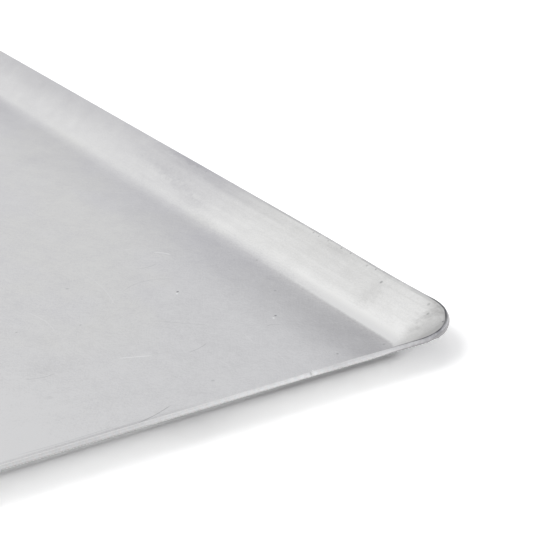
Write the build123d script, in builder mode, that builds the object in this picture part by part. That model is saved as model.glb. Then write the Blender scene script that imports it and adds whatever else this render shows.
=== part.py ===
from build123d import *

import os
from math import cos, radians, sin

# A pressed aluminium baking sheet: one blank of flat sheet metal whose four sides are bent up
# and outwards, with the corners drawn round and the cut edge left open, neither rolled nor wired.
# The origin is the middle of the underside, +Z is up, and the long sides run along X.

# Driving dimensions in millimetres, and the flare in degrees
sheet_length = 400.0          # over the rim, along X
sheet_width = 300.0           # over the rim, along Y
rim_height = 11.0             # from the underside to the top of the rim
sheet_thickness = 1.2         # gauge of the blank
flare_angle = 33.0            # slope of the rim above the floor
bend_radius = 10.0            # inside radius of the soft bend between floor and rim
floor_corner_radius = 1.25    # radius of the flat floor's own corners, where the bends meet
edge_rounding = 0.25          # the cut edge's worn corners

# Flare worked out as run and rise for each millimetre of sheet
flare_run = cos(radians(flare_angle))
flare_rise = sin(radians(flare_angle))

# A rounded edge ends short of the sharp corner that it is cut from, by the same amount
# upwards at the top of the rim and outwards at its side
rounding_loss = edge_rounding * (flare_run + flare_rise - 1)

# Length of the straight part of the flare, from the end of the bend to the cut edge
bend_lift = bend_radius * (1 - flare_run)
flare_length = (rim_height + rounding_loss - sheet_thickness - bend_lift) / flare_rise

# How far the rim reaches out from the corner's turning centre, which is also the
# radius of the rim's outline at each corner
under_bend_radius = bend_radius + sheet_thickness
rim_reach = (
    floor_corner_radius
    + under_bend_radius * flare_rise
    + flare_length * flare_run
    - rounding_loss
)

# Turning centre of the corner in the +X +Y quarter
turn_x = sheet_length / 2 - rim_reach
turn_y = sheet_width / 2 - rim_reach

# The rim's section stands on two planes: across a long side at its middle, and across a short
# side at the turning centre of the corner
across_long_side = Plane(origin=(0, turn_y, 0), x_dir=(0, 1, 0), z_dir=(1, 0, 0))
across_short_side = Plane(origin=(turn_x, turn_y, 0), x_dir=(1, 0, 0), z_dir=(0, -1, 0))
corner_axis = Axis((turn_x, turn_y, 0), (0, 0, 1))


def rim_section(plane: Plane) -> Sketch:
    """Draw the bent sheet's section on a plane, from the turning centre out to the cut edge.

    The section's own X points outwards along the floor and its own Y points up.
    """
    bend_centre = (floor_corner_radius, sheet_thickness + bend_radius)
    with BuildSketch(plane) as section:
        with BuildLine():
            underside = Line((0, 0), (floor_corner_radius, 0))
            under_bend = CenterArc(bend_centre, under_bend_radius, -90, flare_angle)
            under_flare = PolarLine(under_bend @ 1, flare_length, flare_angle)
            cut_edge = PolarLine(under_flare @ 1, sheet_thickness, flare_angle + 90)
            flare = PolarLine(cut_edge @ 1, flare_length, flare_angle + 180)
            bend = CenterArc(bend_centre, bend_radius, flare_angle - 90, -flare_angle)
            floor = Line(bend @ 1, (0, sheet_thickness))
            Line(floor @ 1, underside @ 0)
        make_face()
        worn_corners = section.vertices().sort_by(Axis.X)[-2:]
        fillet(worn_corners, radius=edge_rounding)
    return section.sketch


# One quarter of the sheet, then its mirror images across the middle of the width and the length
with BuildPart() as baking_sheet:
    with BuildSketch(Plane.XY):
        Rectangle(turn_x, turn_y, align=(Align.MIN, Align.MIN))
    extrude(amount=sheet_thickness)
    extrude(rim_section(across_long_side), amount=turn_x)
    extrude(rim_section(across_short_side), amount=turn_y)
    revolve(rim_section(across_short_side), axis=corner_axis, revolution_arc=90)
    mirror(about=Plane.XZ)
    mirror(about=Plane.YZ)

baking_sheet.part.label = "baking_sheet"

os.makedirs("parts", exist_ok=True)
export_step(baking_sheet.part, "parts/baking_sheet.step")

print("flare length", round(flare_length, 2), "rim outline's corner radius", round(rim_reach, 2))
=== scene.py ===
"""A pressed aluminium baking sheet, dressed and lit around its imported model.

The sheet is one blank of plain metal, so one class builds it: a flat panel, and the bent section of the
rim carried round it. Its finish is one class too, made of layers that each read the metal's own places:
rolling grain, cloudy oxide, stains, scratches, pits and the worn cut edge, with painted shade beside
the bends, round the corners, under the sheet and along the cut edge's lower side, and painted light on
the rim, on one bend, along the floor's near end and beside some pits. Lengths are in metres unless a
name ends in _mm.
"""

from __future__ import annotations

import logging
import math
from dataclasses import dataclass, replace
from enum import Enum
from functools import reduce

import bmesh
import bpy
import numpy as np
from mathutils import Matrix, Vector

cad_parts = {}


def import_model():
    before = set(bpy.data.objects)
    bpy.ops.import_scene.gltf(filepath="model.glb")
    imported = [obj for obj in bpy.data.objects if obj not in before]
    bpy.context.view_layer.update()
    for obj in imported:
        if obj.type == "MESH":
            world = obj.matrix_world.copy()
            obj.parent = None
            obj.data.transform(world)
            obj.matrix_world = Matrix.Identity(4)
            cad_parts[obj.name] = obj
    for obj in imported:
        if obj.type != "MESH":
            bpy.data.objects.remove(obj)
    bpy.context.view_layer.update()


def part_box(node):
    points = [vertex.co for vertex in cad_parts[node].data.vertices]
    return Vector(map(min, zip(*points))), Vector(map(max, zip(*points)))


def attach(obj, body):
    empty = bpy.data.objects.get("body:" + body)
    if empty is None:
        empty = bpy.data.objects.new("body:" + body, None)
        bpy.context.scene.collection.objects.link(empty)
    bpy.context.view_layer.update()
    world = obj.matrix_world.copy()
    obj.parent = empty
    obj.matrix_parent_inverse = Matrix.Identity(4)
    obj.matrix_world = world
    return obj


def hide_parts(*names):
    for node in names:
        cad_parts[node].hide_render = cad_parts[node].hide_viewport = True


Place = tuple[float, float]
Zone = tuple[float, float]
Colour = tuple[float, float, float]

log = logging.getLogger("baking_sheet")

MM = 0.001
EDGE_ATTRIBUTE = "from_edge"
MIDDLE = 0.5
MERGE_REACH = 0.001 * MM
NOISE_ROUGHNESS = 0.55


@dataclass(frozen=True)
class Grain:
    """The grains of one layer of noise.

    They have a length, a width and a height, and a number of finer layers. The noise is moved by its
    offset, so that no two layers match.
    """

    sizes_mm: tuple[float, float, float]
    detail: float
    offset_mm: float


class Signal:
    """A number that varies over a surface: one shader socket that takes part in arithmetic."""

    def __init__(self, shader: Shader, socket: bpy.types.NodeSocket) -> None:
        """Wrap a socket of a shader's tree."""
        self.shader = shader
        self.socket = socket

    def maths(self, operation: str, *others: Signal | float) -> Signal:
        """Put this value through a Math node.

        Args:
            operation: The Math node's operation.
            others: The node's further values.

        Returns:
            The node's result.
        """
        values = dict(enumerate((self, *others)))
        node = self.shader.node("ShaderNodeMath", {"operation": operation}, values)
        return Signal(self.shader, node.outputs[0])

    def __add__(self, other: Signal | float) -> Signal:
        """Return the sum."""
        return self.maths("ADD", other)

    __radd__ = __add__

    def __sub__(self, other: Signal | float) -> Signal:
        """Return the difference."""
        return self.maths("SUBTRACT", other)

    def __rsub__(self, other: float) -> Signal:
        """Return the difference, taken from a plain number."""
        return (self * -1.0) + other

    def __mul__(self, other: Signal | float) -> Signal:
        """Return the product."""
        return self.maths("MULTIPLY", other)

    __rmul__ = __mul__

    def __truediv__(self, other: Signal | float) -> Signal:
        """Return the quotient."""
        return self.maths("DIVIDE", other)

    def __abs__(self) -> Signal:
        """Return the size without its sign."""
        return self.maths("ABSOLUTE")

    def most(self, other: Signal | float) -> Signal:
        """Return the larger of two values."""
        return self.maths("MAXIMUM", other)

    def least(self, other: Signal | float) -> Signal:
        """Return the smaller of two values."""
        return self.maths("MINIMUM", other)

    def rises(self, start: float, end: float) -> Signal:
        """Climb smoothly from 0 to 1.

        Args:
            start: The value that gives 0.
            end: The value that gives 1, which may be the smaller one.

        Returns:
            A soft step between them.
        """
        settings = {"interpolation_type": "SMOOTHSTEP", "clamp": True}
        inputs = {"Value": self, "From Min": start, "From Max": end, "To Min": 0.0, "To Max": 1.0}
        node = self.shader.node("ShaderNodeMapRange", settings, inputs)
        return Signal(self.shader, node.outputs["Result"])


class Shader:
    """A node tree under construction."""

    def __init__(self, tree: bpy.types.NodeTree) -> None:
        """Empty a tree and keep it."""
        self.tree = tree
        tree.nodes.clear()

    def node(self, kind: str, settings: dict | None = None, inputs: dict | None = None) -> bpy.types.Node:
        """Add a node.

        Args:
            kind: The node's type.
            settings: Its own settings, set before its sockets.
            inputs: Values or links of its sockets, by name or by number.

        Returns:
            The new node.
        """
        node = self.tree.nodes.new(kind)
        for name, value in (settings or {}).items():
            setattr(node, name, value)
        for name, value in (inputs or {}).items():
            socket = node.inputs[name]
            if isinstance(value, Signal):
                self.tree.links.new(value.socket, socket)
            elif isinstance(value, bpy.types.NodeSocket):
                self.tree.links.new(value, socket)
            else:
                socket.default_value = value
        return node

    def places_mm(self) -> bpy.types.NodeSocket:
        """Read the piece's own coordinates.

        Returns:
            The coordinates in millimetres.
        """
        coordinates = self.node("ShaderNodeTexCoord")
        inputs = {0: coordinates.outputs["Object"], "Scale": 1 / MM}
        return self.node("ShaderNodeVectorMath", {"operation": "SCALE"}, inputs).outputs["Vector"]

    def noise(self, places: bpy.types.NodeSocket, grain: Grain, turn: float = 0.0) -> Signal:
        """Lay noise over the metal.

        Args:
            places: Coordinates in millimetres.
            grain: The noise's grains.
            turn: Angle in degrees from the X axis to the grains' length.

        Returns:
            A value near 0.5 that varies from 0 to 1.
        """
        values = {
            "Vector": places,
            "Location": (grain.offset_mm,) * 3,
            "Rotation": (0.0, 0.0, math.radians(turn)),
            "Scale": grain.sizes_mm,
        }
        moved = self.node("ShaderNodeMapping", {"vector_type": "TEXTURE"}, values)
        inputs = {
            "Vector": moved.outputs[0],
            "Scale": 1.0,
            "Detail": grain.detail,
            "Roughness": NOISE_ROUGHNESS,
        }
        return Signal(self, self.node("ShaderNodeTexNoise", None, inputs).outputs["Fac"])

    def wandering(self, places: bpy.types.NodeSocket, size: float, reach: float) -> bpy.types.NodeSocket:
        """Move coordinates about by a slow noise, so that straight grains laid over them bend.

        Args:
            places: Coordinates in millimetres.
            size: Size of the bends in millimetres.
            reach: How far they move a place, in millimetres.

        Returns:
            The moved coordinates.
        """
        noise = self.node("ShaderNodeTexNoise", None, {"Vector": places, "Scale": 1.0 / size, "Detail": 0.0})
        inputs = {0: noise.outputs["Color"], 1: (reach,) * 3, 2: places}
        return self.node("ShaderNodeVectorMath", {"operation": "MULTIPLY_ADD"}, inputs).outputs["Vector"]

    def distance(self, places: bpy.types.NodeSocket, point: tuple[float, float, float]) -> Signal:
        """Return the distance in millimetres from a point of the metal."""
        node = self.node("ShaderNodeVectorMath", {"operation": "DISTANCE"}, {0: places, 1: point})
        return Signal(self, node.outputs["Value"])

    def blend(self, amount: Signal, first: tuple | bpy.types.NodeSocket,
              second: tuple | bpy.types.NodeSocket) -> bpy.types.NodeSocket:
        """Mix two colours.

        Args:
            amount: Share of the second colour.
            first: A colour or a colour socket.
            second: A colour or a colour socket.

        Returns:
            The mixed colour's socket.
        """
        settings = {"data_type": "RGBA", "clamp_factor": True}
        ends = [end if isinstance(end, bpy.types.NodeSocket) else (*end, 1.0) for end in (first, second)]
        node = self.node("ShaderNodeMix", settings, {0: amount, 6: ends[0], 7: ends[1]})
        return node.outputs[2]


@dataclass(frozen=True)
class Surface:
    """What the layers of a finish read: places in millimetres, regions from 0 to 1, and noises.

    Lifted is the height above the floor, and edge is the distance along the metal from the cut edge's
    upper corner, above 0 on the inside of the tray and below 0 on the cut edge and the underside. Blotch
    is the mottle with finer grains in it.
    """

    places: bpy.types.NodeSocket
    plan: bpy.types.NodeSocket
    x: Signal
    y: Signal
    lifted: Signal
    edge: Signal
    on_rim: Signal
    corner: Signal
    cloud: Signal
    mottle: Signal
    blotch: Signal


@dataclass(frozen=True)
class Scratch:
    """A hairline on the inside of the tray, as an arc through three points.

    Its points are millimetres along X and Y. Its tone is above 0 where bare metal shines in it and below
    0 where dirt has filled it.
    """

    start: Place
    middle: Place
    end: Place
    tone: float
    half_width_mm: float = 0.28
    solid_share: float = 0.6

    def circle(self) -> tuple[tuple[float, float, float], float]:
        """Fit a circle through the three points.

        Its centre is as far from one point as from the next, which is a pair of linear equations.

        Returns:
            The centre and the radius.
        """
        first, second, third = map(np.array, (self.start, self.middle, self.end))
        chords = np.stack((second - first, third - second))
        levels = np.array((second @ second - first @ first, third @ third - second @ second)) / 2
        centre = np.linalg.solve(chords, levels)
        return (float(centre[0]), float(centre[1]), 0.0), float(np.linalg.norm(centre - first))

    def mask(self, shader: Shader, plan: bpy.types.NodeSocket) -> Signal:
        """Work out the hairline's mark.

        Args:
            shader: The material's tree.
            plan: Coordinates in millimetres, without their height.

        Returns:
            1 on the hairline and 0 beside it, fading out towards both its ends.
        """
        centre, radius = self.circle()
        reach = max(math.dist(self.middle, self.start), math.dist(self.middle, self.end))
        off_line = abs(shader.distance(plan, centre) - radius)
        off_middle = shader.distance(plan, (*self.middle, 0.0))
        return off_line.rises(self.half_width_mm, 0.0) * off_middle.rises(reach, reach * self.solid_share)


@dataclass(frozen=True)
class Pit:
    """A small dent with dirt in it, and sometimes a painted highlight beside it, on one side."""

    place: Place
    radius_mm: float
    depth: float = 1.0
    # Strength of the painted highlight on one side of the pit.
    lip: float = 0.0
    glint_side: tuple[float, float] = (0.5, -1.6)
    solid_share: float = 0.3

    def dirt(self, shader: Shader, plan: bpy.types.NodeSocket) -> Signal:
        """Return the dirt's share of the metal."""
        return self._spot(shader, plan, self.place) * self.depth

    def glint(self, shader: Shader, plan: bpy.types.NodeSocket) -> Signal:
        """Return the painted highlight's share of the metal."""
        beside = tuple(at + side * self.radius_mm for at, side in zip(self.place, self.glint_side))
        return self._spot(shader, plan, beside) * self.lip

    def _spot(self, shader: Shader, plan: bpy.types.NodeSocket, place: Place) -> Signal:
        """Return 1 in the middle of a spot of the pit's radius at a place, and 0 round it."""
        away = shader.distance(plan, (*place, 0.0))
        return away.rises(self.radius_mm, self.radius_mm * self.solid_share)


@dataclass(frozen=True)
class Stain:
    """A soft patch where something was baked on and scrubbed off, drawn out along X by its stretch."""

    place: Place
    radius_mm: float
    strength: float
    stretch: float = 1.0
    core: float = 1.1
    raggedness: float = 1.8
    fade: float = 1.2

    def mask(self, shader: Shader, x: Signal, y: Signal, mottle: Signal) -> Signal:
        """Work out the patch, broken up by a mottled layer.

        Args:
            shader: The material's tree.
            x: Place along X in millimetres.
            y: Place along Y in millimetres.
            mottle: The mottled layer.

        Returns:
            The patch's dullness.
        """
        drawn = shader.node("ShaderNodeCombineXYZ", None, {"X": x / self.stretch, "Y": y}).outputs[0]
        centre = (self.place[0] / self.stretch, self.place[1], 0.0)
        away = shader.distance(drawn, centre) / self.radius_mm
        ragged = (mottle - MIDDLE) * self.raggedness
        return (self.core - away + ragged).rises(0.0, self.fade) * self.strength


@dataclass(frozen=True)
class MillAluminium:
    """Plain rolled aluminium after some years of baking.

    The first two fields say where the metal's own regions lie, so that the finish follows the shape: the
    place where a corner turns, from the middle of the sheet, and the gauge of the metal. Dullness is a
    share from 0, clean metal, to 1, the full oxide tone. Dullness also carries painted shade beside the
    long sides' bends and round the corners, and less of it paints light on one bend and along the floor's
    near end. The soot tone carries painted shade under the sheet and along the cut edge's lower side. A
    zone is a pair of places in millimetres, the one where it starts to show and the one where it shows in
    full.
    """

    turn_mm: tuple[float, float]
    thickness_mm: float
    name: str = "mill_aluminium"
    metal: Colour = (0.80, 0.80, 0.802)
    warm: Colour = (0.80, 0.80, 0.79)
    # Painted light: a brighter copy of the same metal for the rim, which faces the light.
    rim_painted_light: Colour = (0.90, 0.90, 0.895)
    oxide_and_shade: Colour = (0.50, 0.495, 0.535)
    warm_oxide_and_shade: Colour = (0.50, 0.497, 0.492)
    soot_and_shade: Colour = (0.30, 0.295, 0.30)
    grime: Colour = (0.16, 0.16, 0.17)
    bare_and_glint: Colour = (1.0, 1.0, 1.0)
    roughness: float = 0.40
    base_dullness: float = 0.10
    cloud_roughness: float = 0.10
    speckle_roughness: float = 0.08
    dirt_roughness: float = 0.2
    under_polish: float = 0.32
    stroke_relief: float = 1.4
    speckle_relief: float = 0.4
    dirt_relief: float = 0.7
    relief_strength: float = 0.25
    relief_height: float = 0.02 * MM
    cloud: Grain = Grain((60.0, 40.0, 40.0), 3.0, 300.0)
    mottle: Grain = Grain((8.0, 6.0, 6.0), 4.0, 500.0)
    fine: Grain = Grain((2.2, 1.7, 1.7), 3.0, 700.0)
    streak: Grain = Grain((34.0, 1.5, 1.0), 2.0, 900.0)
    speckle: Grain = Grain((0.5, 0.4, 0.4), 1.0, 110.0)
    stroke: Grain = Grain((4.5, 0.36, 0.36), 1.0, 0.0)
    stroke_turns: tuple[float, ...] = (4.0, 38.0, -33.0, 78.0)
    stroke_shift_mm: float = 40.0
    stroke_bend_mm: float = 16.0
    stroke_wander_mm: float = 7.0
    cloud_share: float = 0.25
    mottle_share: float = 0.30
    streak_share: float = 0.28
    speckle_share: float = 0.30
    stroke_share: float = 1.15
    margin_painted_shade: float = 0.46
    near_margin_painted_shade: float = 0.2
    foot_dullness: float = 0.45
    near_end_painted_light: float = 0.3
    bend_painted_sheen: float = 0.2
    rim_dullness: float = 0.31
    far_rim_lack: float = 0.15
    rim_foot_dullness: float = 0.14
    rim_along_dullness: float = 0.25
    rim_strip_dullness: float = 0.1
    under_bend_painted_shade: float = 0.5
    under_corner_painted_shade: float = 0.45
    cut_along_darkening: float = 0.38
    cut_near_corner_darkening: float = 0.22
    cut_foot_painted_shade: float = 0.28
    cut_painted_shadow: float = 0.6
    cut_corner_soot: float = 0.42
    inside_zone: Zone = (-1.1, -0.95)
    rim_zone: Zone = (0.8, 2.5)
    scoured_zone: Zone = (-60.0, 130.0)
    streaked_zone: Zone = (-40.0, 90.0)
    scratches: tuple[Scratch, ...] = (
        Scratch((179.2, 66.1), (181.9, 59.6), (183.3, 53.9), -0.42, 0.22),
        Scratch((181.5, 50.3), (181.9, 35.0), (181.3, 19.8), -0.2, 0.25),
        Scratch((148.9, 67.5), (150.3, 70.9), (152.2, 75.6), 0.8, 0.32),
        Scratch((89.6, 110.4), (91.5, 112.5), (94.3, 113.9), 0.75, 0.4),
        Scratch((81.5, 101.4), (82.9, 103.4), (83.6, 105.3), 0.35, 0.3),
        Scratch((36.5, 122.9), (38.7, 126.7), (41.5, 130.5), 0.2, 0.3),
        Scratch((89.7, 84.1), (104.5, 84.6), (115.4, 82.5), 0.22, 0.25),
        Scratch((108.8, 58.5), (115.9, 60.2), (124.9, 59.3), 0.3, 0.25),
        Scratch((98.1, 99.8), (98.7, 103.6), (97.4, 107.2), -0.18),
        Scratch((110.8, 88.3), (107.5, 97.4), (112.7, 107.2), -0.16, 0.22),
        Scratch((155.8, 84.4), (155.2, 88.1), (153.3, 91.9), -0.22),
        Scratch((145.4, 39.6), (147.6, 43.9), (147.1, 48.5), -0.2),
        Scratch((134.1, 87.7), (139.1, 92.7), (143.6, 97.6), -0.2, 0.18),
        Scratch((133.2, 88.9), (138.0, 93.7), (142.6, 98.4), 0.16, 0.18),
        Scratch((153.8, 110.9), (153.4, 113.3), (155.0, 115.2), -0.22),
        Scratch((161.6, 87.3), (165.3, 89.4), (169.9, 89.2), 0.2, 0.2),
        Scratch((152.0, 103.4), (157.0, 103.1), (161.1, 102.3), 0.22, 0.2),
        Scratch((167.9, 104.8), (173.2, 104.2), (178.1, 102.8), 0.2, 0.2),
    )
    pits: tuple[Pit, ...] = (
        Pit((160.2, 146.2), 0.65, 0.45),
        Pit((150.3, 148.2), 0.55, 0.25),
        Pit((178.6, 118.2), 0.5, 0.45),
        Pit((149.0, 117.2), 0.5, 0.8, 1.0, (1.9, -2.6)),
        Pit((119.4, 101.9), 0.5, 0.85, 1.0, (2.2, -1.8)),
        Pit((134.3, 126.5), 0.55, 0.3),
        Pit((112.8, 133.7), 0.5, 0.25),
        Pit((180.8, 132.3), 0.5, 0.3),
        Pit((173.7, 81.6), 0.7, 0.2),
        Pit((124.3, 67.5), 0.5, 0.25),
        Pit((99.8, 75.4), 0.7, 0.2),
        Pit((118.8, 50.3), 0.5, 0.25),
        Pit((158.9, 41.3), 1.3, 0.07),
        Pit((181.0, 147.3), 0.7, 0.3),
        Pit((184.0, 144.8), 0.6, 0.35),
        Pit((52.2, 148.3), 0.5, 0.14),
        Pit((57.9, 148.3), 0.6, 0.14),
        Pit((121.9, 148.5), 0.45, 0.35),
        Pit((125.0, 148.3), 0.4, 0.3),
        Pit((129.7, 148.6), 0.4, 0.3),
        Pit((136.5, 148.7), 0.45, 0.4),
        Pit((141.2, 148.8), 0.5, 0.35),
        Pit((154.2, 148.6), 0.45, 0.4),
        Pit((193.1, 142.8), 0.45, 0.9),
        Pit((183.3, 107.0), 0.45, 0.0, 0.9, (0.0, 0.0)),
        Pit((199.6, 96.4), 0.8, 0.0, 0.4, (0.0, 0.0)),
        Pit((199.7, 95.2), 0.5, 0.25),
    )
    stains: tuple[Stain, ...] = (
        Stain((185.5, 145.2), 5.0, 0.4),
        Stain((183.5, 139.5), 3.5, 0.2),
        Stain((43.0, 149.2), 1.8, 0.3, 12.0),
        Stain((38.0, 142.5), 2.6, 0.16, 9.0),
        Stain((56.0, 140.5), 2.0, 0.2, 7.0),
        Stain((66.0, 138.5), 2.4, 0.16, 5.0),
        Stain((134.0, 147.5), 1.2, 0.18, 8.0),
        Stain((160.5, 141.8), 6.0, 0.2),
        Stain((-8.0, 114.5), 8.0, 0.14),
        Stain((143.4, 47.2), 8.0, 0.12),
    )

    def material(self) -> bpy.types.Material:
        """Build the material.

        Returns:
            A metal whose colour, roughness and relief all read the same layers.
        """
        material = bpy.data.materials.new(self.name)
        material.use_nodes = True
        shader = Shader(material.node_tree)
        read = self._surface(shader)
        places, x, y, edge = read.places, read.x, read.y, read.edge
        streaks = shader.noise(places, self.streak)
        strokes = self._strokes(shader, places)
        speckle = shader.noise(places, self.speckle)
        scoured = (x.rises(*self.scoured_zone) * 0.55 + 0.45) * (1.0 - read.on_rim * 0.4)
        texture = (strokes - MIDDLE) * self.stroke_share + (speckle - MIDDLE) * self.speckle_share
        tone = texture * scoured + (read.mottle - MIDDLE) * self.mottle_share
        tone = tone + (read.cloud - MIDDLE) * self.cloud_share
        tone = tone + (streaks - MIDDLE) * read.on_rim * x.rises(*self.streaked_zone) * self.streak_share

        # Dullness, with the floor's painted shade and painted light in it.
        dull = self._floor_tone_and_painted_shade(read) + self._rim_darkening(read)
        for stain in self.stains:
            dull = dull + stain.mask(shader, x, y, read.blotch)
        below = edge.rises(0.1 - self.thickness_mm, -0.4 - self.thickness_mm)
        neutral = read.on_rim.most(read.cloud.rises(0.45, 0.6) * x.rises(160.0, 120.0))
        colour = shader.blend(neutral, self.metal, self.warm)
        # The rim takes the brighter copy of the metal, as painted light.
        colour = shader.blend(read.on_rim, colour, self.rim_painted_light)
        warmer = (read.on_rim * (x.rises(60.0, 120.0) * 0.7 + 0.3)).most(x.rises(80.0, 150.0) * 0.7)
        # The oxide tone shows real oxide and painted shade alike.
        oxide_and_shade = shader.blend(warmer, self.oxide_and_shade, self.warm_oxide_and_shade)
        colour = shader.blend(((dull - tone) * (1.0 - below)).most(0.0), colour, oxide_and_shade)
        # Soot, and painted shade under the sheet and along the cut edge's lower side.
        soot_and_shade_share = below * self._under_soot_and_shade(read) + self._cut_wear_and_shade(read)
        colour = shader.blend(soot_and_shade_share.most(0.0), colour, self.soot_and_shade)

        inside = edge.rises(*self.inside_zone)
        dirt = (self._dirt(shader, read.plan) * inside).most(self._seam(read))
        colour = shader.blend(dirt, colour, self.grime)
        colour = shader.blend(self._bare_and_glint(shader, read.plan) * inside, colour, self.bare_and_glint)
        rough = self.roughness + (read.cloud - MIDDLE) * self.cloud_roughness
        rough = rough + (speckle - MIDDLE) * self.speckle_roughness
        rough = rough + dirt * self.dirt_roughness - below * self.under_polish
        relief = (strokes - MIDDLE) * self.stroke_relief + (speckle - MIDDLE) * self.speckle_relief
        relief = relief - dirt * self.dirt_relief
        inputs = {"Strength": self.relief_strength, "Distance": self.relief_height, "Height": relief}
        bump = shader.node("ShaderNodeBump", None, inputs)
        inputs = {"Base Color": colour, "Metallic": 1.0, "Roughness": rough, "Normal": bump.outputs[0]}
        metal = shader.node("ShaderNodeBsdfPrincipled", None, inputs)
        shader.node("ShaderNodeOutputMaterial", None, {"Surface": metal.outputs[0]})
        return material

    def _surface(self, shader: Shader) -> Surface:
        """Gather what the layers read.

        Args:
            shader: The material's tree.

        Returns:
            The places, the regions and the noises.
        """
        places = shader.places_mm()
        parts = shader.node("ShaderNodeSeparateXYZ", None, {0: places}).outputs
        x, y, z = (Signal(shader, part) for part in parts)
        lifted = z - self.thickness_mm
        stored = shader.node("ShaderNodeAttribute", {"attribute_name": EDGE_ATTRIBUTE})
        long_x, long_y = self.turn_mm
        mottle = shader.noise(places, self.mottle)
        return Surface(
            places=places,
            plan=shader.node("ShaderNodeCombineXYZ", None, {"X": x, "Y": y}).outputs[0],
            x=x,
            y=y,
            lifted=lifted,
            edge=Signal(shader, stored.outputs["Fac"]) / MM,
            on_rim=lifted.rises(*self.rim_zone),
            corner=abs(x).rises(long_x - 4.0, long_x + 3.0) * abs(y).rises(long_y - 12.0, long_y + 2.0),
            cloud=shader.noise(places, self.cloud),
            mottle=mottle,
            blotch=mottle + shader.noise(places, self.fine) - MIDDLE,
        )

    def _floor_tone_and_painted_shade(self, read: Surface) -> Signal:
        """Work out the panel's own dullness, with painted shade and painted light over it.

        The painted shade is a wide margin beside the bends of the long sides, most of all towards their
        ends, the turning surface of one corner as far as its bend, and the corners darker towards their
        lips. A narrow line at the foot of the bends is darker too. The long side's bend is lighter beside
        that corner, as a painted sheen, and the floor is lighter along the near end, as painted light. The
        margin stops at the foot of the bend, crisply near that end.

        Args:
            read: What the layers read.

        Returns:
            The dullness.
        """
        long_x, long_y = self.turn_mm
        x, y, lifted, edge = read.x, read.y, read.lifted, read.edge
        soft, crisp = lifted.rises(1.2, 0.1), lifted.rises(0.62, 0.24)
        on_floor = soft + (crisp - soft) * x.rises(90.0, 160.0)
        ends = abs(x).rises(long_x * 0.1, long_x * 0.8) * 0.55 + 0.45
        # Painted shade: the floor is darker in a margin beside the long sides' bends.
        wide = abs(y).rises(long_y - 24.0, long_y + 1.0) * ends * self.margin_painted_shade
        near = abs(y).rises(long_y - 18.0, long_y - 3.0) * x.rises(138.0, 172.0) * self.near_margin_painted_shade
        foot = abs(x).rises(long_x + 1.9, long_x + 3.0) * y.rises(80.0, 45.0) * self.foot_dullness
        # Painted light: the floor is lighter along the near end, on the -Y half.
        near_end_light = y.rises(60.0, 0.0) * x.rises(100.0, 180.0) * self.near_end_painted_light
        # Painted shade: the corner's turning surface is darker out to its bend, and every corner is darker
        # towards its lip.
        turning = x.rises(181.0, 188.0) * y.rises(108.0, 120.0) * y.rises(148.0, 134.0)
        turning = turning * (edge.rises(11.0, 1.0) * 0.5 + edge.rises(20.0, 15.0) * 0.42)
        corner_painted_shade = turning + read.corner * (edge.rises(4.0, 1.0) * 0.3 + edge.rises(1.5, 1.0) * 0.2)
        # Painted sheen: the long side's bend is lighter beside the corner.
        bend = lifted.rises(0.2, 0.6) * lifted.rises(4.0, 1.2) * y.rises(long_y - 1.0, long_y + 2.5)
        bend_sheen = bend * x.rises(115.0, 160.0) * x.rises(187.0, 179.0) * self.bend_painted_sheen
        marks = (wide + near + foot - near_end_light) * on_floor + corner_painted_shade * edge.rises(-0.1, 0.1)
        return self.base_dullness + marks - bend_sheen

    def _rim_darkening(self, read: Surface) -> Signal:
        """Work out the rim's dullness, which grows towards the cut edge and is uneven along it.

        Args:
            read: What the layers read.

        Returns:
            The dullness, which is 0 off the rim.
        """
        x, edge = read.x, read.edge
        far = x.rises(60.0, 110.0)
        towards_edge = edge.rises(13.0, 0.5) * (self.rim_dullness - far * self.far_rim_lack)
        by_bend = far * x.rises(178.0, 155.0) * edge.rises(16.0, 11.0) * self.rim_foot_dullness
        along = (x + (read.cloud - MIDDLE) * 60.0).rises(104.0, 62.0) * self.rim_along_dullness
        strip = edge.rises(5.2, 3.6) * x.rises(20.0, 60.0) * x.rises(118.0, 95.0) * self.rim_strip_dullness
        return (towards_edge + by_bend + along + strip) * read.on_rim * edge.rises(-0.1, 0.2)

    def _under_soot_and_shade(self, read: Surface) -> Signal:
        """Work out the soot and the painted shade on the underside.

        The soot is patchy, and painted shade lies along the ends' bends and under the corners of one
        long side.

        Args:
            read: What the layers read.

        Returns:
            The share of soot and painted shade, which may be below 0 between the soot's patches.
        """
        y = read.y
        patches = read.cloud - MIDDLE + (read.mottle - MIDDLE) * 0.6
        # Painted shade: the underside is darker along the bends and under the corners, deepening the shade
        # under the sheet.
        by_bend = read.edge.rises(-15.0, -16.5) * y.rises(55.0, 118.0) * y.rises(137.0, 130.0)
        by_corner = read.corner * y.rises(137.0, 145.0)
        return patches.most(by_bend * self.under_bend_painted_shade).most(by_corner * self.under_corner_painted_shade)

    def _cut_wear_and_shade(self, read: Surface) -> Signal:
        """Work out the darkening of the cut edge.

        It is mottled round the corners, with painted shade along its lower side, and darker along the ends.

        Args:
            read: What the layers read.

        Returns:
            The share of soot and painted shade.
        """
        y, edge = read.y, read.edge
        on_cut = edge.rises(0.0, -0.2) * edge.rises(-1.8, -1.5)
        # Painted shadow: the cut is darker along its lower side, most of all along the end beside one
        # corner.
        shadow = edge.rises(-0.95, -1.1) * y.rises(116.0, 122.0) * y.rises(131.0, 126.0)
        lower = edge.rises(-0.8, -1.0) * self.cut_foot_painted_shade + shadow * self.cut_painted_shadow
        turned = abs(y).rises(134.0, 139.0) * 1.1 + 0.15
        hanging = self.cut_corner_soot + abs(y).rises(129.5, 133.0) * 0.25 + (read.blotch - MIDDLE) * 1.1
        # Painted shade: the lower half of the cut is darker round the corners, most of all beside the long
        # sides.
        hanging = hanging + edge.rises(-0.5, -0.9) * turned
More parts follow.
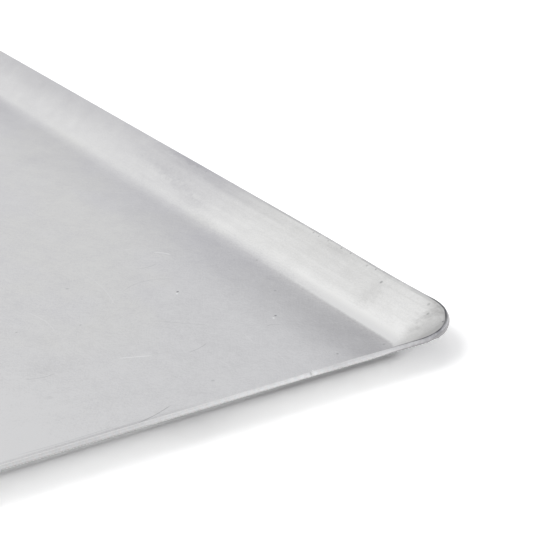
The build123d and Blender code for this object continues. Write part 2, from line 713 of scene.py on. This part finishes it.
        # The cut darkens below Y 110 mm, fully below 20 mm, and in a band between 92 and 130 mm.
        cut_darker_along = y.rises(110.0, 20.0) * self.cut_along_darkening
        cut_darker_along = cut_darker_along + y.rises(92.0, 105.0) * y.rises(130.0, 124.0) * self.cut_near_corner_darkening
        return on_cut * (cut_darker_along + read.corner * hanging + lower)

    def _seam(self, read: Surface) -> Signal:
        """Work out the dark line behind the corner's lip and what goes on from it along the long side.

        The line drifts inwards from the cut edge where the corner turns. On the long side it goes on as a
        faint groove, and as a hairline on the edge itself.

        Args:
            read: What the layers read.

        Returns:
            The dirt's share.
        """
        x, y, edge, corner = read.x, read.y, read.edge, read.corner
        drift = x.rises(187.0, 191.0) * x.rises(198.0, 194.0) * 0.35
        inner, outer = (edge - drift).rises(0.5, 0.3), (edge - drift).rises(-0.22, -0.08)
        lip = edge.rises(-0.1, 0.0) * (edge - drift).rises(-0.1, -0.25) * 0.6
        line = corner * (inner * outer * (0.6 + read.mottle.rises(0.3, 0.6) * 0.5) + lip)
        groove = edge.rises(0.5, 0.8) * edge.rises(1.5, 1.15)
        groove = groove * x.rises(150.0, 174.0) * y.rises(143.0, 147.0)
        hair = edge.rises(-0.15, 0.0) * edge.rises(0.8, 0.45) * x.rises(70.0, 115.0) * y.rises(140.0, 146.0)
        onward = (groove * 0.2 + hair * 0.3) * (1.0 - corner) * read.mottle.rises(0.35, 0.6)
        return line + onward

    def _dirt(self, shader: Shader, plan: bpy.types.NodeSocket) -> Signal:
        """Return the dirt's share of the metal in the dark hairlines and the pits."""
        dark = [line.mask(shader, plan) * -line.tone for line in self.scratches if line.tone < 0]
        return self._largest(dark + [pit.dirt(shader, plan) for pit in self.pits])

    def _bare_and_glint(self, shader: Shader, plan: bpy.types.NodeSocket) -> Signal:
        """Return the share of bare metal in the bright hairlines and of painted highlights beside the pits.
        """
        bright = [line.mask(shader, plan) * line.tone for line in self.scratches if line.tone > 0]
        return self._largest(bright + [pit.glint(shader, plan) for pit in self.pits if pit.lip])

    @staticmethod
    def _largest(layers: list[Signal]) -> Signal:
        """Return the largest of several layers."""
        return reduce(Signal.most, layers)

    def _strokes(self, shader: Shader, places: bpy.types.NodeSocket) -> Signal:
        """Lay the fine net of short hairlines that scouring leaves.

        It is the mean of noises with long thin grains, one for each direction, laid over coordinates that
        wander so that the hairlines bend.

        Args:
            shader: The material's tree.
            places: Coordinates in millimetres.

        Returns:
            A value near 0.5 that varies from 0 to 1.
        """
        bent = shader.wandering(places, self.stroke_bend_mm, self.stroke_wander_mm)
        layers = []
        for turn in self.stroke_turns:
            grain = replace(self.stroke, offset_mm=self.stroke_shift_mm * turn)
            layers.append(shader.noise(bent, grain, turn))
        return sum(layers[1:], layers[0]) / len(layers)


@dataclass(frozen=True)
class Sag:
    """A stretch of the rim that has been pushed down a little."""

    place: Place
    depth: float
    half_length: float


@dataclass
class PressedSheet:
    """The baking sheet: one blank of metal with a flat panel and a bent rim."""

    length: float
    width: float
    height: float
    thickness: float = 1.2 * MM
    flare_angle: float = math.radians(33.0)
    end_flare_angle: float = math.radians(35.0)
    bend_radius: float = 10.0 * MM
    end_bend_radius: float = 6.0 * MM
    floor_corner_radius: float = 1.25 * MM
    edge_rounding: float = 0.25 * MM
    station_step: float = 4.0 * MM
    corner_steps: int = 96
    edge_points: int = 7
    cut_points: int = 4
    bend_points: int = 15
    under_bend_points: int = 11
    flare_points: int = 12
    under_flare_points: int = 8
    crown: float = 0.15 * MM
    wave: float = 0.05 * MM
    wave_turns: tuple[float, float] = (41.0, 33.0)
    wave_starts: tuple[float, float] = (1.3, 0.4)
    flare_curl: float = 0.8 * MM
    burr: float = 0.45 * MM
    burr_fade: float = 7.0 * MM
    burr_least: float = 0.7
    burr_most: float = 2.0
    burr_stations: int = 9
    burr_turn_in: float = 2.5
    nick: float = 0.42 * MM
    nick_angle: float = math.radians(30.0)
    nick_spread: float = math.radians(11.0)
    burr_reach: float = 0.35 * MM
    swelling: float = 0.25 * MM
    swelling_place: float = 113.0 * MM
    swelling_half_length: float = 14.0 * MM
    seed: int = 7
    sags: tuple[Sag, ...] = (Sag((0.162, 0.150), 0.55 * MM, 25.0 * MM),)

    def section(self, flare_angle: float, bend_radius: float) -> tuple[np.ndarray, np.ndarray, np.ndarray]:
        """Work out the bent section, from the panel's edge over the rim and back under it.

        The section is runs joined by arcs: the floor, the soft bend, the flare, the worn upper corner of
        the cut edge, the cut edge, its lower corner, the flare's underside and the bend's underside. The
        flare then bulges upwards by its curl times s - s cubed, where s runs from 0 at the bend to 1 at
        the cut edge.

        Args:
            flare_angle: Slope of the flare.
            bend_radius: Inner radius of the bend.

        Returns:
            Reach outwards from the corner's turning centre, height, and distance along the metal from
            the cut edge's upper corner, which is above 0 on the inside of the tray.
        """
        run, rise = math.cos(flare_angle), math.sin(flare_angle)
        along, across = np.array((run, rise)), np.array((-rise, run))
        loss = self.edge_rounding * (run + rise - 1)
        lift = bend_radius * (1 - run)
        flare_length = (self.height + loss - self.thickness - lift) / rise
        centre = np.array((self.floor_corner_radius, self.thickness + bend_radius))
        down, slope = -math.pi / 2, flare_angle

        bend_end = centre + bend_radius * np.array((rise, -run))
        upper_corner = bend_end + flare_length * along
        lower_corner = upper_corner - self.thickness * across
        inset = self.edge_rounding
        upper_centre = upper_corner - inset * along - inset * across
        lower_centre = lower_corner - inset * along + inset * across
        under_radius = bend_radius + self.thickness

        upper = self._arc(upper_centre, inset, slope + math.pi / 2, slope, self.edge_points)
        lower = self._arc(lower_centre, inset, slope, slope - math.pi / 2, self.edge_points)
        bend = self._arc(centre, bend_radius, down, down + slope, self.bend_points)
        under_bend = self._arc(centre, under_radius, down + slope, down, self.under_bend_points)
        points = np.vstack((
            np.array(((0.0, self.thickness),)),
            bend,
            self._run(bend[-1], upper[0], self.flare_points),
            upper,
            self._run(upper[-1], lower[0], self.cut_points),
            lower,
            self._run(lower[-1], under_bend[0], self.under_flare_points),
            under_bend,
            np.array(((0.0, 0.0),)),
        ))
        share = np.clip((points - bend_end) @ along / flare_length, 0.0, 1.0)
        points += self.flare_curl * (share - share**3)[:, None] * across
        steps = np.hypot(*np.diff(points, axis=0).T)
        travelled = np.concatenate(((0.0,), np.cumsum(steps)))
        at_corner = travelled[1 + len(bend) + self.flare_points + len(upper) // 2]
        return points[:, 0], points[:, 1], at_corner - travelled

    @staticmethod
    def _arc(centre: np.ndarray, radius: float, start: float, end: float, count: int) -> np.ndarray:
        """Return points of an arc, both ends included."""
        angle = np.linspace(start, end, count)
        return centre + radius * np.column_stack((np.cos(angle), np.sin(angle)))

    @staticmethod
    def _run(start: np.ndarray, end: np.ndarray, count: int) -> np.ndarray:
        """Return evenly spaced points between two ends, without the ends."""
        share = np.linspace(0.0, 1.0, count + 2)[1:-1, None]
        return start + share * (end - start)

    def stations(self, turn_x: float, turn_y: float) -> tuple[np.ndarray, np.ndarray, np.ndarray]:
        """Walk round the panel against the clock, starting at the lower end of its +X side.

        Args:
            turn_x: Half the panel's length, which is where the corners turn.
            turn_y: Half its width.

        Returns:
            The X and Y of each station on the panel's outline, and the angle that it faces.
        """
        across = self._side(turn_y)
        along = self._side(turn_x)
        quarter = np.linspace(0.0, math.pi / 2, self.corner_steps + 1)
        xs, ys, angles = [], [], []
        sides = (
            (np.full_like(across, turn_x), across, 0.0),
            (-along, np.full_like(along, turn_y), 0.5 * math.pi),
            (np.full_like(across, -turn_x), -across, math.pi),
            (along, np.full_like(along, -turn_y), 1.5 * math.pi),
        )
        for side_x, side_y, facing in sides:
            turns = facing + quarter[1:-1]
            xs += [side_x, np.full_like(turns, side_x[-1])]
            ys += [side_y, np.full_like(turns, side_y[-1])]
            angles += [np.full_like(side_x, facing), turns]
        return np.concatenate(xs), np.concatenate(ys), np.concatenate(angles)

    def _side(self, half: float) -> np.ndarray:
        """Return places along a side of the panel, from its lower end to its upper end."""
        return np.linspace(-half, half, round(2 * half / self.station_step) + 1)

    def shape(self) -> tuple[np.ndarray, np.ndarray, np.ndarray]:
        """Build the whole surface.

        Each point of the rim stands at its station, moved out by the section's reach in the direction
        that the station faces, at the section's height. The panel's two faces are flat grids that meet
        the rim's first and last rows. The section changes between the sides and the ends with the square
        of the cosine of the facing angle.

        Returns:
            Vertices, faces of four corners, and each vertex's distance from the cut edge.
        """
        reach, height, from_edge = self.section(self.flare_angle, self.bend_radius)
        end_reach, end_height, _ = self.section(self.end_flare_angle, self.end_bend_radius)
        end_reach[1:-1] += reach.max() - end_reach.max()
        turn_x = self.length / 2 - reach.max()
        turn_y = self.width / 2 - reach.max()
        x, y, angle = self.stations(turn_x, turn_y)
        towards_end = np.cos(angle)[:, None] ** 2
        reach = reach + towards_end * (end_reach - reach)
        height = height + towards_end * (end_height - height)
        off_burr = (from_edge + self.thickness) / self.burr_reach
        burr = self.burrs(y, angle, turn_y)[:, None] * np.exp(-(off_burr**2))
        rim = np.stack((
            x[:, None] + np.cos(angle)[:, None] * reach,
            y[:, None] + np.sin(angle)[:, None] * reach,
            height - burr,
        ), axis=-1)
        rim_faces = self._quads(len(x), len(from_edge), wraps=True)

        grid_x, grid_y = self._side(turn_x), self._side(turn_y)
        flat_x, flat_y = np.meshgrid(grid_x, grid_y, indexing="ij")
        top = np.stack((flat_x, flat_y, np.full_like(flat_x, self.thickness)), axis=-1)
        under = np.stack((flat_x, flat_y, np.zeros_like(flat_x)), axis=-1)
        panel_faces = self._quads(len(grid_x), len(grid_y), wraps=False)

        vertices = np.vstack((rim.reshape(-1, 3), top.reshape(-1, 3), under.reshape(-1, 3)))
        count, flat_count = len(x) * len(from_edge), flat_x.size
        faces = np.vstack((rim_faces, panel_faces + count, panel_faces[:, ::-1] + count + flat_count))
        edge = np.concatenate((
            np.tile(from_edge, len(x)),
            np.full(flat_count, from_edge[0]),
            np.full(flat_count, from_edge[-1]),
        ))
        return self.worn(vertices, turn_x, turn_y), faces, edge

    def burrs(self, y: np.ndarray, angle: np.ndarray, turn_y: float) -> np.ndarray:
        """Work out how far the burr hangs below the cut edge at each station.

        Round the corners it is ragged: a share of its size, plus seeded noise that is summed over a few
        stations, divided by the root of their number and kept where it is above zero. It fades out along
        the ends as a bell curve of the distance from the corner, and towards the sides with the sine of
        twice the facing angle. One nick hangs lower, as a bell curve of the angle. Along the ends there is
        a smooth swelling beside the corners, as a bell curve of the distance along Y.

        Args:
            y: Each station's Y.
            angle: The angle that it faces.
            turn_y: Half the panel's width.

        Returns:
            The drop at each station.
        """
        noise = np.random.default_rng(self.seed).normal(size=len(angle) + self.burr_stations - 1)
        window = np.full(self.burr_stations, 1 / math.sqrt(self.burr_stations))
        ragged = np.clip(np.convolve(noise, window, "valid"), 0.0, self.burr_most) / 2.0
        facing_end = np.clip(np.cos(angle) ** 2, 0.0, 1.0)
        beside = np.exp(-(((np.abs(y) - turn_y) / self.burr_fade) ** 2)) * facing_end
        turning = np.clip(np.abs(np.sin(2.0 * angle)) * self.burr_turn_in, 0.0, 1.0)
        swelling = np.exp(-(((np.abs(y) - self.swelling_place) / self.swelling_half_length) ** 2))
        nick = np.exp(-(((angle - self.nick_angle) / self.nick_spread) ** 2))
        burr = self.burr * (self.burr_least + ragged) * np.maximum(turning, beside)
        return burr + self.nick * nick + self.swelling * swelling * facing_end

    @staticmethod
    def _quads(rows: int, columns: int, wraps: bool) -> np.ndarray:
        """Join a grid of points into faces of four corners.

        Args:
            rows: How many rows the grid has.
            columns: How many points each row has.
            wraps: Whether the last row joins the first.

        Returns:
            The faces, as the numbers of their corners.
        """
        last = rows if wraps else rows - 1
        row, column = np.meshgrid(np.arange(last), np.arange(columns - 1), indexing="ij")
        following = (row + 1) % rows
        corners = (
            row * columns + column,
            following * columns + column,
            following * columns + column + 1,
            row * columns + column + 1,
        )
        return np.stack(corners, axis=-1).reshape(-1, 4)

    def worn(self, vertices: np.ndarray, turn_x: float, turn_y: float) -> np.ndarray:
        """Give the clean shape the small unevenness of a sheet in use.

        The panel rises a little towards its middle, as one arch along each side multiplied together.
        The rim sinks where it has been pushed down, as a bell curve along it, and by a slow wave, which is
        a sine along X times a cosine along Y. Both grow with the square of the height, so the bend stays
        where it is.

        Args:
            vertices: The clean shape's points.
            turn_x: Half the panel's length.
            turn_y: Half its width.

        Returns:
            The moved points.
        """
        x, y, z = vertices.T
        arch_x = np.cos(0.5 * math.pi * np.clip(x / turn_x, -1, 1))
        arch_y = np.cos(0.5 * math.pi * np.clip(y / turn_y, -1, 1))
        rise = self.crown * arch_x * arch_y
        share = (z / self.height) ** 2
        wave_x = np.sin(x * self.wave_turns[0] + self.wave_starts[0])
        wave_y = np.cos(y * self.wave_turns[1] + self.wave_starts[1])
        sunk = self.wave * (1 + wave_x * wave_y) / 2
        for sag in self.sags:
            away = np.hypot(x - sag.place[0], y - sag.place[1])
            sunk = sunk + sag.depth * np.exp(-((away / sag.half_length) ** 2))
        return np.column_stack((x, y, z + rise - sunk * share))

    def finish(self) -> MillAluminium:
        """Choose the sheet's finish and fit it to the bends.

        Returns:
            The finish.
        """
        reach = self.section(self.flare_angle, self.bend_radius)[0].max()
        turn = ((self.length / 2 - reach) / MM, (self.width / 2 - reach) / MM)
        return MillAluminium(turn, self.thickness / MM)

    def build(self) -> bpy.types.Object:
        """Make the sheet's object, closed, dressed and standing for its node.

        Returns:
            The finished piece.
        """
        vertices, faces, edge = self.shape()
        mesh = bpy.data.meshes.new("pressed_sheet")
        mesh.from_pydata(vertices.tolist(), [], faces.tolist())
        attribute = mesh.attributes.new(EDGE_ATTRIBUTE, "FLOAT", "POINT")
        attribute.data.foreach_set("value", edge.astype(np.float32))
        self._close(mesh)
        mesh.materials.append(self.finish().material())
        piece = bpy.data.objects.new("pressed_sheet", mesh)
        bpy.context.scene.collection.objects.link(piece)
        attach(piece, "root")
        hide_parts("baking_sheet")
        return piece

    @staticmethod
    def _close(mesh: bpy.types.Mesh) -> None:
        """Merge the points where the panel and the rim meet, and shade the metal smooth.

        Args:
            mesh: The sheet's mesh.
        """
        editable = bmesh.new()
        editable.from_mesh(mesh)
        bmesh.ops.remove_doubles(editable, verts=editable.verts, dist=MERGE_REACH)
        bmesh.ops.recalc_face_normals(editable, faces=editable.faces)
        for face in editable.faces:
            face.smooth = True
        editable.to_mesh(mesh)
        editable.free()


class Tone(Enum):
    """Pale tones of the studio, as linear values."""

    WHITE = (1.0, 1.0, 1.0)
    COOL_WHITE = (0.965, 0.972, 1.06)
    PAPER = (0.92, 0.92, 0.92)


@dataclass
class Studio:
    """A white table under a wide soft light, seen as a close camera sees the sheet's corner."""

    table_half: float = 12.0
    camera_place: tuple[float, float, float] = (0.5119, -0.1165, 0.2052)
    camera_azimuth: float = math.radians(57.05)
    camera_pitch: float = math.radians(24.07)
    focal_pixels: float = 1668.0
    picture_pixels: float = 560.0
    sensor: float = 36.0
    nearest_seen: float = 0.01
    sun_strength: float = 1.35
    sun_spread: float = math.radians(40.0)
    sun_tilt: tuple[float, float] = (math.radians(42.0), math.radians(-4.0))
    sky_base: float = 0.52
    sky_top: float = 0.33
    sky_side: float = 0.23
    sky_ends: float = 0.255
    sky_front: float = 0.5
    sky_shade: float = 0.52
    sky_most: float = 0.95
    backdrop_top: float = 0.25
    shaded_across: Zone = (0.5, 0.95)
    cool_across: Zone = (0.15, 1.1)
    table_lift: float = 1.19

    def build(self) -> None:
        """Make the table, the sky, the lamp and the camera."""
        self._table()
        self._sky()
        self._lamp()
        self._camera()

    def _table(self) -> None:
        """Lay the table, white to the camera and in reflections, and a plain pale surface to the light."""
        half = self.table_half
        corners = [(-half, -half, 0.0), (half, -half, 0.0), (half, half, 0.0), (-half, half, 0.0)]
        mesh = bpy.data.meshes.new("table")
        mesh.from_pydata(corners, [], [(0, 1, 2, 3)])
        table = bpy.data.objects.new("table", mesh)
        bpy.context.scene.collection.objects.link(table)
        material = bpy.data.materials.new("white_table")
        material.use_nodes = True
        shader = Shader(material.node_tree)
        plain = shader.node("ShaderNodeBsdfDiffuse", None, {"Color": (*Tone.PAPER.value, 1.0)})
        lifted = tuple(self.table_lift * part for part in Tone.WHITE.value)
        shown = shader.node("ShaderNodeBsdfDiffuse", None, {"Color": (*lifted, 1.0)})
        inputs = {0: self._seen(shader), 1: plain.outputs[0], 2: shown.outputs[0]}
        surface = shader.node("ShaderNodeMixShader", None, inputs)
        shader.node("ShaderNodeOutputMaterial", None, {"Surface": surface.outputs[0]})
        mesh.materials.append(material)

    def _sky(self) -> None:
        """Surround the table with a pale sky above a white backdrop.

        The sky is brighter overhead, towards the -Y side, and along X, most of all at the +X end, and it
        is cool towards the +Y side. The camera and reflections see it turn to the white backdrop near the
        horizon. As light, it has no backdrop, and it is shaded towards the +Y side.
        """
        world = bpy.data.worlds.new("studio")
        world.use_nodes = True
        bpy.context.scene.world = world
        shader = Shader(world.node_tree)
        way = shader.node("ShaderNodeTexCoord").outputs["Generated"]
        parts = shader.node("ShaderNodeSeparateXYZ", None, {0: way})
        along, across, up = (Signal(shader, part) for part in parts.outputs)
        sky = self.sky_base + self.sky_top * up.most(0.0) - self.sky_side * across
        sky = sky + self.sky_ends * abs(along) + self.sky_front * along.most(0.0) * (1.0 - abs(across))
        sky = sky.least(self.sky_most)
        light = (sky - self.sky_shade * across.rises(*self.shaded_across)).most(0.0)
        shown = sky + (1.0 - sky) * up.rises(self.backdrop_top, 0.0)
        level = light + (shown - light) * self._seen(shader)
        colour = shader.blend(across.rises(*self.cool_across), Tone.WHITE.value, Tone.COOL_WHITE.value)
        background = shader.node("ShaderNodeBackground", None, {"Color": colour, "Strength": level})
        shader.node("ShaderNodeOutputWorld", None, {"Surface": background.outputs[0]})

    @staticmethod
    def _seen(shader: Shader) -> Signal:
        """Tell what is seen from the light that falls on things.

        Args:
            shader: The tree that asks.

        Returns:
            1 for the camera, reflections and views through things, and 0 for light.
        """
        path = shader.node("ShaderNodeLightPath").outputs
        kinds = ("Is Camera Ray", "Is Glossy Ray", "Is Transmission Ray")
        return reduce(Signal.most, [Signal(shader, path[kind]) for kind in kinds])

    def _lamp(self) -> None:
        """Hang one wide soft light overhead and to one side, out of sight of the metal's reflections."""
        lamp = bpy.data.lights.new("overhead", "SUN")
        lamp.energy = self.sun_strength
        lamp.angle = self.sun_spread
        piece = bpy.data.objects.new("overhead", lamp)
        piece.rotation_euler = (self.sun_tilt[0], self.sun_tilt[1], 0.0)
        piece.visible_glossy = False
        bpy.context.scene.collection.objects.link(piece)

    def _camera(self) -> None:
        """Set up the close camera."""
        lens = bpy.data.cameras.new("close_camera")
        lens.sensor_fit = "HORIZONTAL"
        lens.sensor_width = self.sensor
        lens.lens = self.sensor * self.focal_pixels / self.picture_pixels
        lens.clip_start = self.nearest_seen
        camera = bpy.data.objects.new("close_camera", lens)
        camera.location = self.camera_place
        camera.rotation_euler = (math.pi / 2 - self.camera_pitch, 0.0, self.camera_azimuth)
        bpy.context.scene.collection.objects.link(camera)
        bpy.context.scene.camera = camera


def main() -> None:
    """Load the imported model, build the sheet around it, and set up the studio."""
    logging.basicConfig(level=logging.INFO, format="%(name)s: %(message)s")
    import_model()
    low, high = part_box("baking_sheet")
    size = np.subtract(high, low)
    sheet = PressedSheet(*(float(side) for side in size))
    piece = sheet.build()
    mesh = piece.data
    log.info("%s has %d vertices and %d faces", piece.name, len(mesh.vertices), len(mesh.polygons))
    Studio().build()
    bpy.context.scene.view_settings.view_transform = "Standard"


if __name__ == "__main__":
    main()
